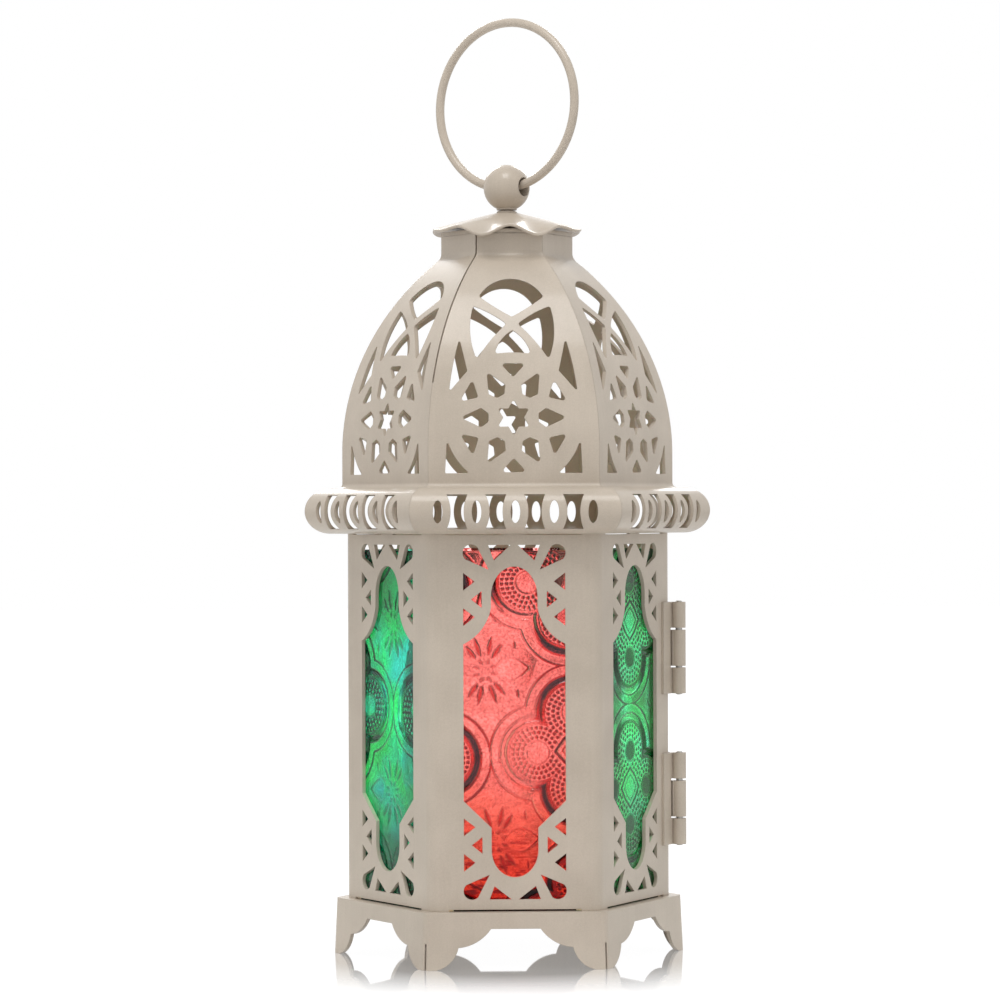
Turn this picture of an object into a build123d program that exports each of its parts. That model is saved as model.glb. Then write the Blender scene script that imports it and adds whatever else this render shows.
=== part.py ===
"""Hexagonal candle lantern: painted sheet metal, pressed glass panes, hinged door, ball finial and ring handle.

Millimetres. +Z is up, the origin is the centre of the footprint at floor level. Two corners of the hexagon
lie on the X axis and the front wall faces -Y. Everything on a wall is drawn as (u, z): u to the right as that
wall is seen from outside, z the height above the floor.
"""
from build123d import *
from math import cos, radians, sin, sqrt
import os

# ---- Driving dimensions ------------------------------------------------------------------------------------
SHEET = 0.9  # tin plate of the walls, dome and tray
COS30 = cos(radians(30))
SIN30 = sin(radians(30))

TRAY_TOP = 13.0
TRAY_CORNER = 40.8  # centre to corner at the top of the tray
TRAY_FOOT_CORNER = 41.4  # centre to corner at floor level
TRAY_BEND = 2.0
ARCH_TOP = 9.3
SLIT_WIDTH = 0.4
SLIT_HEIGHT = 6.0

BODY_CORNER = 38.3
BODY_BEND = 3.5
BODY_TOP = 98.6
BODY_FACE = BODY_CORNER * COS30  # centre to the outside of a wall
BODY_INSIDE = BODY_FACE - SHEET
SEAM_GAP = 0.4  # daylight left along the soldered edges of the walls

WINDOW_HALF = 11.6
HEAD_HALF = 5.3
GLASS_HALF = 13.9
GLASS_THICK = 2.4
GLASS_TOP = 94.8
GLASS_BACK = BODY_INSIDE - GLASS_THICK
CLIP_HEIGHTS = (27.0, 83.0)
CLIP_WIDTH = 4.0
CLIP_SHEET = 0.5

BAND_RADIUS = 5.3
BAND_MIDDLE = 103.9
BAND_CENTRE = 41.48 - BAND_RADIUS  # centre to the axis of the half-round
BAND_SHEET = 0.8
BAND_PITCH = 8.75
BAND_TOP = BAND_MIDDLE + BAND_RADIUS
BAND_RING_HALF = 2.9

DOME_CORNER = 39.0
DOME_FACE = DOME_CORNER * COS30
DOME_SPRING = 117.5  # height at which the gores start to curve inwards
DOME_RADIUS = 62.0
NECK_CORNER = 15.5
NECK_FACE = NECK_CORNER * COS30
NECK_TOP = 168.5
NECK_BEND = 2.5  # outside radius of the concave bend between dome and neck
NECK_LID = 3.0  # height of the lid that closes the neck
FOOT_FLARE = 1.2  # solder fillet round the foot of the dome
SEAM_SLIT = 0.35  # open seam between the front gore and its left neighbour
SEAM_FOOT = 133.0  # below this the open seam is closed

ROSETTE_HEIGHT = 125.0
PETALS = 6
CUT_ROUND = 0.5  # rounding of the corners of the cut-outs

CAP_RADIUS = 18.0
CAP_LOBES = 8
CAP_LOBE_REACH = 7.0  # centre of the cap to the centre of a lobe's arc
CAP_TOP = 174.2
CAP_HUB = 2.4  # radius of the flat in the middle of the cap, and of the collar on it
CAP_SLOPE = (9.5, 172.2)  # a point of the cap's upper face half way out
CAP_EDGE = 170.6  # top of the sheet at the tips of the lobes
CAP_SHEET = 0.9
LIP_BOTTOM = 167.4
LIP_CREST = 169.4  # underside of the lip between two lobes
LIP_ARC = 8.0

BALL_RADIUS = 5.45
BALL_HEIGHT = 180.1
BALL_HOLE = 2.2
STUD_RADIUS = 1.5
STUD_FIT = 0.06  # running clearance of the ball on its stud

RING_RADIUS = 19.5
RING_WIRE = 1.025
RING_TURN = -38.0  # degrees about Z that the ring stands turned

DOOR_GAP = 0.5
DOOR_HALF = 16.3
DOOR_JAMB = 17.0
DOOR_BOTTOM = TRAY_TOP + 0.6
DOOR_TOP = BODY_TOP - DOOR_GAP
HEM = 1.9
PULL_OFFSET = 14.0
PULL_HEIGHT = 56.0

HINGE_AXIS = 40.4  # on the +X corner
HINGE_PIN = 0.8
HINGE_FIT = 0.06
KNUCKLE_RADIUS = 1.6
LEAF_SHEET = 0.6
HINGE_BOTTOMS = {"upper": 60.6, "lower": 25.0}
KNUCKLES = ((0.0, 6.1), (6.5, 15.0), (15.5, 21.6))  # frame, door, frame: heights above the hinge's bottom
FRAME_LEAF_REACH = 5.8
DOOR_LEAF_REACH = 7.6

CUP_RADIUS = 20.2  # inside, for a 38 mm tealight
CUP_WALL = 0.8
CUP_HEIGHT = 8.0

# Turn about Z from the front wall to each wall; the door fills the back right one.
WALLS = {"front": 0, "front_right": 60, "back_right": 120, "back": 180, "back_left": 240, "front_left": 300}
DOOR_TURN = WALLS["back_right"]
FIXED_TURNS = [turn for turn in WALLS.values() if turn != DOOR_TURN]


# ---- Helpers -----------------------------------------------------------------------------------------------
def wall_plane(turn, distance=0.0):
    """Plane of a wall at a distance from the axis: local x is u, local y is z, the normal points outwards."""
    angle = radians(turn - 90)
    out = Vector(cos(angle), sin(angle), 0)
    return Plane(origin=out * distance, x_dir=(-sin(angle), cos(angle), 0), z_dir=out)


def profile_plane(turn):
    """Upright plane through the axis and the middle of a wall: local x is the distance out, local y is z."""
    angle = radians(turn - 90)
    return Plane(origin=(0, 0, 0), x_dir=(cos(angle), sin(angle), 0), z_dir=(sin(angle), -cos(angle), 0))


def plan_plane(turn, height):
    """Level plane at a height: local x is u of the wall, local -y is the distance out from the axis."""
    angle = radians(turn)
    return Plane(origin=(0, 0, height), x_dir=(cos(angle), sin(angle), 0), z_dir=(0, 0, 1))


def hexagon(corner, bend):
    """Hexagon with corners on the X axis, each rounded to the radius of its bend."""
    with BuildSketch(mode=Mode.PRIVATE) as shape:
        RegularPolygon(corner, 6)
        fillet(shape.vertices(), bend)
    return shape.sketch


def outline(corners, through=None, radius=0.0):
    """Closed face, its corners rounded to a radius; side number i is an arc through through[i], or else straight."""
    arcs = through or {}
    with BuildSketch(mode=Mode.PRIVATE) as shape:
        with BuildLine():
            for index, start in enumerate(corners):
                end = corners[(index + 1) % len(corners)]
                if index in arcs:
                    ThreePointArc(start, arcs[index], end)
                else:
                    Line(start, end)
        make_face()
        if radius:
            fillet(shape.vertices(), radius)
    return shape.sketch


def save(part, name):
    """Label a finished piece and write it to its STEP file."""
    part.label = name
    export_step(part, f"parts/{name}.step")


os.makedirs("parts", exist_ok=True)

# ---- Cut-out patterns --------------------------------------------------------------------------------------
# Window frame: an arched opening that widens in the middle, with teardrops and small triangles round it.
HEAD_TOP = 84.3
HEAD_BOTTOM = 26.9
SHOULDER_TOP = (81.8, 73.6)
SHOULDER_BOTTOM = (31.9, 38.0)
TEARDROP_RADIUS = 1.95

with BuildSketch() as window:
    with BuildLine():
        EllipticalCenterArc((0, HEAD_TOP), HEAD_HALF, 6.9, start_angle=0, arc_size=180)
        Line((-HEAD_HALF, HEAD_TOP), (-HEAD_HALF, SHOULDER_TOP[0]))
        ThreePointArc((-HEAD_HALF, SHOULDER_TOP[0]), (-7.4, 77.0), (-WINDOW_HALF, SHOULDER_TOP[1]))
        Line((-WINDOW_HALF, SHOULDER_TOP[1]), (-WINDOW_HALF, SHOULDER_BOTTOM[1]))
        Line((-WINDOW_HALF, SHOULDER_BOTTOM[1]), (-HEAD_HALF, SHOULDER_BOTTOM[0]))
        Line((-HEAD_HALF, SHOULDER_BOTTOM[0]), (-HEAD_HALF, HEAD_BOTTOM))
        EllipticalCenterArc((0, HEAD_BOTTOM), HEAD_HALF, 6.2, start_angle=180, arc_size=180)
        Line((HEAD_HALF, HEAD_BOTTOM), (HEAD_HALF, SHOULDER_BOTTOM[0]))
        Line((HEAD_HALF, SHOULDER_BOTTOM[0]), (WINDOW_HALF, SHOULDER_BOTTOM[1]))
        Line((WINDOW_HALF, SHOULDER_BOTTOM[1]), (WINDOW_HALF, SHOULDER_TOP[1]))
        ThreePointArc((WINDOW_HALF, SHOULDER_TOP[1]), (7.4, 77.0), (HEAD_HALF, SHOULDER_TOP[0]))
        Line((HEAD_HALF, SHOULDER_TOP[0]), (HEAD_HALF, HEAD_TOP))
    make_face()

with BuildSketch() as window_trim:
    for middle, tip in ((94.3, 90.5), (17.6, 21.3)):
        centre = Vector(-9.75, middle)
        point = Vector(-5.8, tip)
        lean = (point - centre).normalized()
        across = Vector(-lean.Y, lean.X) * TEARDROP_RADIUS
        back = centre - lean * TEARDROP_RADIUS
        add(outline([point, centre + across, centre - across], {1: back}))
    add(outline([(-5.9, 96.1), (-0.8, 96.1), (-4.6, 92.6)]))
    add(outline([(-5.8, 15.7), (-4.7, 18.7), (-0.8, 15.7)]))
    for height in (87.8, 79.75, 32.1, 24.05):
        add(outline([(-WINDOW_HALF, height - 2), (-9.0, height), (-WINDOW_HALF, height + 2)]))
    for height in (83.75, 28.0):
        add(outline([(-7.4, height - 1.9), (-7.4, height + 1.9), (-9.8, height)]))
    mirror(about=Plane.YZ)

# Dome gore: a six-petalled rosette, a pointed arch of four lights over it, slivers and corner pieces beside it.
with BuildSketch() as tracery:
    star_points = []
    for step in range(PETALS):
        inner = radians(60 * step)
        outer = radians(60 * step + 30)
        star_points.append((2.35 * cos(inner), 2.35 * sin(inner)))
        star_points.append((4.15 * cos(outer), 4.15 * sin(outer)))
    with Locations((0, ROSETTE_HEIGHT)):
        add(outline(star_points, radius=0.35))
        with PolarLocations(0, PETALS):
            add(outline([(12.1, 0), (7.4, 2.2), (5.7, 0.95), (5.7, -0.95), (7.4, -2.2)], radius=CUT_ROUND))
        with PolarLocations(0, PETALS, start_angle=30):
            add(outline([(9.2, 0), (12.4, -2.95), (12.4, 2.95)], radius=CUT_ROUND))
    add(
        outline(
            [(-7.4, 153.1), (0, 148.3), (7.4, 153.1)],
            {0: (-3.5, 150.35), 1: (3.5, 150.35), 2: (0, 157.4)},
            radius=CUT_ROUND,
        )
    )
    add(
        outline(
            [(0, 145.1), (-4.1, 139.65), (4.1, 139.65)],
            {0: (-2.6, 142.8), 1: (0, 139.95), 2: (2.6, 142.8)},
            radius=CUT_ROUND,
        )
    )
    for side in (-1, 1):
        light = [(side * 8.8, 150.8), (side * 1.3, 146.6), (side * 8.2, 138.3)]
        add(outline(light, {0: (side * 5.3, 149.25), 1: (side * 4.9, 142.9), 2: (side * 9.6, 144.2)}, radius=CUT_ROUND))
        sliver = [(side * 12.1, 143.2), (side * 10.4, 135.7), (side * 14.6, 130.9)]
        add(outline(sliver, {2: (side * 13.6, 137.3)}, radius=CUT_ROUND / 2))
        corner = [(side * 15.2, 120.3), (side * 15.6, 112.4), (side * 10.1, 112.4)]
        add(outline(corner, {2: (side * 13.3, 116.0)}, radius=CUT_ROUND / 2))

# Gallery strip: five upright rings with hourglass gaps between them.
with BuildSketch() as gallery_holes:
    with Locations((0, BAND_MIDDLE - 0.25)):
        with GridLocations(BAND_PITCH, 1, 5, 1):
            Ellipse(1.08, 2.55)
        gap_height = 3.9
        waist = BAND_PITCH / 2 - BAND_RING_HALF
        shoulder = 2.35
        gap = outline(
            [(-shoulder, -gap_height), (shoulder, -gap_height), (shoulder, gap_height), (-shoulder, gap_height)],
            {1: (waist, 0), 3: (-waist, 0)},
        )
        with GridLocations(BAND_PITCH, 1, 4, 1):
            add(gap)

# ---- Tray --------------------------------------------------------------------------------------------------
SKIRT = SHEET / COS30


with BuildPart() as base_tray:
    for inset, top in ((0, TRAY_TOP), (SKIRT, TRAY_TOP - SHEET)):
        with BuildSketch(Plane.XY.offset(top)):
            add(hexagon(TRAY_CORNER - inset, TRAY_BEND))
        with BuildSketch(Plane.XY):
            add(hexagon(TRAY_FOOT_CORNER - inset, TRAY_BEND))
        loft(mode=Mode.SUBTRACT if inset else Mode.ADD)
    for turn in (0, 60, 120):
        # One cut makes the arch in a wall and in the wall opposite it.
        with BuildSketch(wall_plane(turn)):
            with BuildLine():
                Polyline((-18.0, -1), (-18.0, 0))
                ThreePointArc((-18.0, 0), (-14.8, 1.75), (-13.0, 5.05))
                ThreePointArc((-13.0, 5.05), (-8.4, 6.6), (-5.6, ARCH_TOP))
                Line((-5.6, ARCH_TOP), (5.6, ARCH_TOP))
                ThreePointArc((5.6, ARCH_TOP), (8.4, 6.6), (13.0, 5.05))
                ThreePointArc((13.0, 5.05), (14.8, 1.75), (18.0, 0))
                Polyline((18.0, 0), (18.0, -1), (-18.0, -1))
            make_face()
        extrude(amount=TRAY_FOOT_CORNER, both=True, mode=Mode.SUBTRACT)
        # The skirt is slit at the lower end of each bent corner.
        with BuildSketch(Plane.XY):
            Rectangle(2 * TRAY_FOOT_CORNER + 2, SLIT_WIDTH, rotation=turn)
        extrude(amount=SLIT_HEIGHT, mode=Mode.SUBTRACT)
save(base_tray.part, "base_tray")

with BuildPart() as candle_cup:
    with BuildSketch(Plane.XZ):
        with BuildLine():
            floor = TRAY_TOP + CUP_WALL
            rim = TRAY_TOP + CUP_HEIGHT
            Polyline((0, floor), (0, TRAY_TOP), (CUP_RADIUS + CUP_WALL, TRAY_TOP), (CUP_RADIUS + CUP_WALL, rim))
            ThreePointArc((CUP_RADIUS + CUP_WALL, rim), (CUP_RADIUS + CUP_WALL / 2, rim + CUP_WALL / 2), (CUP_RADIUS, rim))
            Polyline((CUP_RADIUS, rim), (CUP_RADIUS, floor), (0, floor))
        make_face()
    revolve(axis=Axis.Z)
save(candle_cup.part, "candle_cup")

# ---- Body shell and its panes ------------------------------------------------------------------------------
with BuildPart() as body_shell:
    with BuildSketch(Plane.XY.offset(TRAY_TOP)):
        add(hexagon(BODY_CORNER, BODY_BEND))
        add(hexagon(BODY_CORNER - SKIRT, BODY_BEND - SHEET), mode=Mode.SUBTRACT)
    extrude(amount=BODY_TOP - TRAY_TOP)
    for turn in FIXED_TURNS:
        with BuildSketch(wall_plane(turn, BODY_INSIDE - 1)):
            add(window.sketch)
            add(window_trim.sketch)
            # Daylight gaps: one long one over the tray, two shorter ones under the gallery.
            with Locations((0, TRAY_TOP)):
                Rectangle(30, 2 * SEAM_GAP)
            with Locations((-9, BODY_TOP), (9, BODY_TOP)):
                Rectangle(13, SEAM_GAP)
        extrude(amount=SHEET + 2, mode=Mode.SUBTRACT)
    with BuildSketch(wall_plane(DOOR_TURN, BODY_INSIDE - 1)):
        with Locations((0, (TRAY_TOP + BODY_TOP) / 2)):
            Rectangle(2 * DOOR_JAMB, BODY_TOP - TRAY_TOP + 2)
    extrude(amount=SHEET + 2, mode=Mode.SUBTRACT)
save(body_shell.part, "body_shell")


def pane(turn, bottom):
    """Pressed glass pane that stands just behind a wall, with its back edges eased."""
    with BuildPart() as glass:
        with BuildSketch(wall_plane(turn, GLASS_BACK)):
            with Locations((0, (bottom + GLASS_TOP) / 2)):
                Rectangle(2 * GLASS_HALF, GLASS_TOP - bottom)
        extrude(amount=GLASS_THICK)
        out = wall_plane(turn).z_dir
        chamfer(glass.faces().sort_by(lambda face: face.center().dot(out))[0].edges(), 0.5)
    return glass.part


def clips(turn, foot, length):
    """Four bent strips that hold a pane: a foot on the sheet, an upright, a finger over the back of the glass."""
    with BuildPart() as strips:
        for height in CLIP_HEIGHTS:
            with BuildSketch(plan_plane(turn, height)):
                edge = GLASS_HALF + 0.1
                with BuildLine():
                    Polyline(
                        (edge + length, -foot),
                        (edge + length, -foot + CLIP_SHEET),
                        (edge + CLIP_SHEET, -foot + CLIP_SHEET),
                        (edge + CLIP_SHEET, -GLASS_BACK + CLIP_SHEET),
                        (edge - 1.5, -GLASS_BACK + CLIP_SHEET),
                        (edge - 1.5, -GLASS_BACK),
                        (edge, -GLASS_BACK),
                        (edge, -foot),
                        close=True,
                    )
                make_face()
                mirror(about=Plane.YZ)
            extrude(amount=CLIP_WIDTH)
    return strips.part


for wall, turn in WALLS.items():
    if turn != DOOR_TURN:
        save(pane(turn, TRAY_TOP), f"glass_{wall}")

with BuildPart() as glass_clips:
    for turn in FIXED_TURNS:
        add(clips(turn, BODY_INSIDE, 2.0))
save(glass_clips.part, "glass_clips")

# ---- Gallery band ------------------------------------------------------------------------------------------
# Plan of the front sixth of the lantern: strips and gores are mitred on its two sides.
with BuildSketch() as front_sixth:
    Polygon((0, 0), (-60 * SIN30, -60 * COS30), (60 * SIN30, -60 * COS30), align=None)
sixth = front_sixth.sketch

FLANGE_EDGE = 32.3  # how far in the level flanges of the band reach

with BuildPart() as gallery_strip:
    with BuildSketch(profile_plane(0)):
        with BuildLine():
            low = BAND_MIDDLE - BAND_RADIUS
            high = BAND_MIDDLE + BAND_RADIUS
            inner = BAND_RADIUS - BAND_SHEET
            Line((FLANGE_EDGE, high), (BAND_CENTRE, high))
            ThreePointArc((BAND_CENTRE, high), (BAND_CENTRE + BAND_RADIUS, BAND_MIDDLE), (BAND_CENTRE, low))
            Polyline(
                (BAND_CENTRE, low),
                (FLANGE_EDGE, low),
                (FLANGE_EDGE, low + BAND_SHEET),
                (BAND_CENTRE, low + BAND_SHEET),
            )
            ThreePointArc(
                (BAND_CENTRE, low + BAND_SHEET), (BAND_CENTRE + inner, BAND_MIDDLE), (BAND_CENTRE, high - BAND_SHEET)
            )
            Polyline((BAND_CENTRE, high - BAND_SHEET), (FLANGE_EDGE, high - BAND_SHEET), (FLANGE_EDGE, high))
        make_face()
    extrude(amount=30, both=True)
    with BuildSketch(Plane.XY.offset(low)):
        add(sixth)
    extrude(amount=high - low, mode=Mode.INTERSECT)
    with BuildSketch(wall_plane(0, BAND_CENTRE)):
        add(gallery_holes.sketch)
    extrude(amount=BAND_RADIUS + 2, mode=Mode.SUBTRACT)

# ---- Dome --------------------------------------------------------------------------------------------------
ARC_CENTRE = Vector(DOME_FACE - DOME_RADIUS, DOME_SPRING)
BEND_CENTRE = Vector(
    NECK_FACE + NECK_BEND,
    DOME_SPRING + sqrt((DOME_RADIUS + NECK_BEND) ** 2 - (NECK_FACE + NECK_BEND - ARC_CENTRE.X) ** 2),
)
TO_BEND = (BEND_CENTRE - ARC_CENTRE).normalized()  # the arc of the dome and the bend touch on this line


def gore_side(inset):
    """Points of one face of a gore's sheet from the foot up, set in by a distance: straight, arc, bend, straight."""
    arc = DOME_RADIUS - inset
    bend = NECK_BEND + inset
    foot = Vector(DOME_FACE - inset, DOME_SPRING)
    touch = ARC_CENTRE + TO_BEND * arc
    arc_middle = ARC_CENTRE + (TO_BEND + Vector(1, 0)).normalized() * arc
    bend_middle = BEND_CENTRE - (TO_BEND + Vector(1, 0)).normalized() * bend
    neck = Vector(NECK_FACE - inset, BEND_CENTRE.Y)
    return foot, arc_middle, touch, bend_middle, neck, Vector(NECK_FACE - inset, NECK_TOP)


with BuildPart() as dome_gore:
    with BuildSketch(profile_plane(0)):
        with BuildLine():
            foot, arc_middle, touch, bend_middle, neck, top = gore_side(0)
            flare_middle = FOOT_FLARE * (1 - sqrt(0.5))
            ThreePointArc(
                (DOME_FACE + FOOT_FLARE, BAND_TOP),
                (DOME_FACE + flare_middle, BAND_TOP + flare_middle),
                (DOME_FACE, BAND_TOP + FOOT_FLARE),
            )
            Line((DOME_FACE, BAND_TOP + FOOT_FLARE), foot)
            ThreePointArc(foot, arc_middle, touch)
            ThreePointArc(touch, bend_middle, neck)
            Line(neck, top)
            foot, arc_middle, touch, bend_middle, neck, top_in = gore_side(SHEET)
            Line(top, top_in)
            Line(top_in, neck)
            ThreePointArc(neck, bend_middle, touch)
            ThreePointArc(touch, arc_middle, foot)
            Polyline(foot, (DOME_FACE - SHEET, BAND_TOP), (DOME_FACE + FOOT_FLARE, BAND_TOP))
        make_face()
    extrude(amount=30, both=True)
    with BuildSketch(Plane.XY.offset(BAND_TOP)):
        add(sixth)
    extrude(amount=NECK_TOP - BAND_TOP, mode=Mode.INTERSECT)
    with BuildSketch(wall_plane(0)):
        add(tracery.sketch)
    extrude(amount=DOME_CORNER, mode=Mode.SUBTRACT)

# The seam on the left of the front gore stands open from part way up.
with BuildPart() as open_seam:
    with BuildSketch(wall_plane(-30)):
        with Locations((0, (SEAM_FOOT + NECK_TOP) / 2)):
            Rectangle(SEAM_SLIT, NECK_TOP - SEAM_FOOT + 0.01)
    extrude(amount=DOME_CORNER + 2)
SEAM_WALLS = ("front", "front_left")

for wall, turn in WALLS.items():
    for master, stem in ((gallery_strip, "gallery"), (dome_gore, "dome")):
        with BuildPart() as copied:
            add(master.part, rotation=(0, 0, turn))
            if stem == "dome" and wall in SEAM_WALLS:
                add(open_seam.part, mode=Mode.SUBTRACT)
        save(copied.part, f"{stem}_{wall}")

# ---- Neck, petal cap and finial ----------------------------------------------------------------------------
with BuildPart() as neck_cap:
    # Lid inside the necks of the gores, its skirt turned down.
    with BuildSketch(Plane.XY.offset(NECK_TOP - NECK_LID)):
        RegularPolygon(NECK_CORNER - SKIRT, 6)
    extrude(amount=NECK_LID)
    with BuildSketch(Plane.XY.offset(NECK_TOP - NECK_LID)):
        RegularPolygon(NECK_CORNER - 2 * SKIRT, 6)
    extrude(amount=NECK_LID - SHEET, mode=Mode.SUBTRACT)
    with Locations((0, 0, NECK_TOP)):
        Hole(STUD_RADIUS)
save(neck_cap.part, "neck_cap")

SPACER_TOP = CAP_TOP - CAP_SHEET
SPACER_RADIUS = 3.2
with BuildPart() as cap_spacer:
    with BuildSketch(Plane.XY.offset(NECK_TOP)):
        Circle(SPACER_RADIUS)
        Circle(STUD_RADIUS, mode=Mode.SUBTRACT)
    extrude(amount=SPACER_TOP - NECK_TOP)
save(cap_spacer.part, "cap_spacer")

LOBE_ANGLES = {"radius": CAP_LOBE_REACH, "count": CAP_LOBES, "start_angle": 180 / CAP_LOBES}
with BuildPart() as petal_cap:
    with BuildSketch(Plane.XZ):
        with BuildLine():
            rim = CAP_RADIUS + 1
            Line((STUD_RADIUS, CAP_TOP), (CAP_HUB, CAP_TOP))
            ThreePointArc((CAP_HUB, CAP_TOP), CAP_SLOPE, (rim, CAP_EDGE))
            Line((rim, CAP_EDGE), (rim, CAP_EDGE - CAP_SHEET))
            ThreePointArc(
                (rim, CAP_EDGE - CAP_SHEET), (CAP_SLOPE[0], CAP_SLOPE[1] - CAP_SHEET), (SPACER_RADIUS + 0.4, SPACER_TOP)
            )
            Polyline((SPACER_RADIUS + 0.4, SPACER_TOP), (STUD_RADIUS, SPACER_TOP), (STUD_RADIUS, CAP_TOP))
        make_face()
    revolve(axis=Axis.Z)
    with BuildSketch(Plane.XY.offset(CAP_TOP + 1)):
        with PolarLocations(**LOBE_ANGLES):
            Circle(CAP_RADIUS - CAP_LOBE_REACH)
    extrude(amount=-8, mode=Mode.INTERSECT)
    # Lip: a wall round the lobes, cut away in an arc from below between each two of them.
    with BuildPart(mode=Mode.PRIVATE) as cap_lip:
        with BuildSketch(Plane.XY.offset(LIP_BOTTOM)):
            with PolarLocations(**LOBE_ANGLES):
                Circle(CAP_RADIUS - CAP_LOBE_REACH)
            with PolarLocations(**LOBE_ANGLES):
                Circle(CAP_RADIUS - CAP_LOBE_REACH - CAP_SHEET, mode=Mode.SUBTRACT)
        extrude(amount=CAP_EDGE - CAP_SHEET / 2 - LIP_BOTTOM)
        for lobe in range(CAP_LOBES):
            angle = radians(360 / CAP_LOBES * lobe)
            arc_axis = Plane(origin=(0, 0, LIP_CREST - LIP_ARC), z_dir=(cos(angle), sin(angle), 0))
            with BuildSketch(arc_axis):
                Circle(LIP_ARC)
            extrude(amount=CAP_RADIUS + 1, mode=Mode.SUBTRACT)
    add(cap_lip.part)
save(petal_cap.part, "petal_cap")

COLLAR_TOP = 174.6
with BuildPart() as cap_collar:
    with BuildSketch(Plane.XY.offset(CAP_TOP)):
        Circle(CAP_HUB)
        Circle(STUD_RADIUS, mode=Mode.SUBTRACT)
    extrude(amount=COLLAR_TOP - CAP_TOP)
    chamfer(cap_collar.edges().group_by(Axis.Z)[-1].filter_by(lambda edge: edge.radius > STUD_RADIUS + 0.1), 0.15)
save(cap_collar.part, "cap_collar")

HEAD_RADIUS = 1.95
HEAD_BOTTOM_Z = 177.2
HEAD_TOP_Z = 178.2
NUT_HEIGHT = 2.4
NUT_TOP = NECK_TOP - SHEET
with BuildPart() as finial_stud:
    with BuildSketch(Plane.XZ):
        with BuildLine():
            Polyline(
                (0, NUT_TOP - NUT_HEIGHT - 1.5),
                (STUD_RADIUS, NUT_TOP - NUT_HEIGHT - 1.5),
                (STUD_RADIUS, HEAD_BOTTOM_Z),
                (HEAD_RADIUS, HEAD_BOTTOM_Z),
                (HEAD_RADIUS, HEAD_TOP_Z - 0.4),
                (HEAD_RADIUS - 0.4, HEAD_TOP_Z),
                (0, HEAD_TOP_Z),
                close=True,
            )
        make_face()
    revolve(axis=Axis.Z)
save(finial_stud.part, "finial_stud")

with BuildPart() as stud_nut:
    with BuildSketch(Plane.XY.offset(NUT_TOP)):
        RegularPolygon(2.75, 6, major_radius=False)
        Circle(STUD_RADIUS, mode=Mode.SUBTRACT)
    extrude(amount=-NUT_HEIGHT)
save(stud_nut.part, "stud_nut")

BALL_FOOT = COLLAR_TOP + 0.25
SHOULDER = HEAD_BOTTOM_Z - 0.1
with BuildPart() as ball_finial:
    with Locations((0, 0, BALL_HEIGHT)):
        Sphere(BALL_RADIUS)
    with BuildSketch(Plane.XY.offset(BALL_FOOT)):
        Circle(CAP_HUB)
    extrude(amount=2.0)
    with BuildSketch(Plane.XY.offset(BALL_FOOT)):
        Circle(BALL_RADIUS)
    extrude(amount=-2.0, mode=Mode.SUBTRACT)
    with BuildSketch(Plane.XY.offset(BALL_FOOT)):
        Circle(STUD_RADIUS + STUD_FIT)
    extrude(amount=BALL_HEIGHT - BALL_FOOT, mode=Mode.SUBTRACT)
    with BuildSketch(Plane.XY.offset(SHOULDER)):
        Circle(HEAD_RADIUS + 0.15)
    extrude(amount=BALL_HEIGHT - SHOULDER, mode=Mode.SUBTRACT)
    ring_angle = radians(RING_TURN)
    hole_direction = (cos(ring_angle), sin(ring_angle), 0)
    with BuildSketch(Plane(origin=(0, 0, BALL_HEIGHT), z_dir=hole_direction)):
        Circle(BALL_HOLE)
    extrude(amount=BALL_RADIUS + 1, both=True, mode=Mode.SUBTRACT)
save(ball_finial.part, "ball_finial")

with BuildPart() as ring_handle:
    ring_facing = Vector(-hole_direction[1], hole_direction[0], 0)
    with BuildSketch(Plane(origin=(0, 0, BALL_HEIGHT), z_dir=hole_direction)):
        Circle(RING_WIRE)
    revolve(axis=Axis((0, 0, BALL_HEIGHT + RING_RADIUS), ring_facing))
save(ring_handle.part, "ring_handle")

# ---- Door --------------------------------------------------------------------------------------------------
with BuildPart() as door_panel:
    middle = (DOOR_BOTTOM + DOOR_TOP) / 2
    with BuildSketch(wall_plane(DOOR_TURN, BODY_INSIDE)):
        with Locations((0, middle)):
            Rectangle(2 * DOOR_HALF, DOOR_TOP - DOOR_BOTTOM)
    extrude(amount=SHEET)
    # Hem: the edges of the sheet are folded flat against its back.
    with BuildSketch(wall_plane(DOOR_TURN, BODY_INSIDE)):
        with Locations((0, middle)):
            Rectangle(2 * DOOR_HALF, DOOR_TOP - DOOR_BOTTOM)
            Rectangle(2 * (DOOR_HALF - HEM), DOOR_TOP - DOOR_BOTTOM - 2 * HEM, mode=Mode.SUBTRACT)
    extrude(amount=-SHEET)
    with BuildSketch(wall_plane(DOOR_TURN, BODY_INSIDE - 1)):
        add(window.sketch)
        add(window_trim.sketch)
    extrude(amount=SHEET + 2, mode=Mode.SUBTRACT)
save(door_panel.part, "door_panel")

save(pane(DOOR_TURN, DOOR_BOTTOM + HEM), "glass_door")
save(clips(DOOR_TURN, BODY_INSIDE - SHEET, 1.2), "door_glass_clips")

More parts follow.
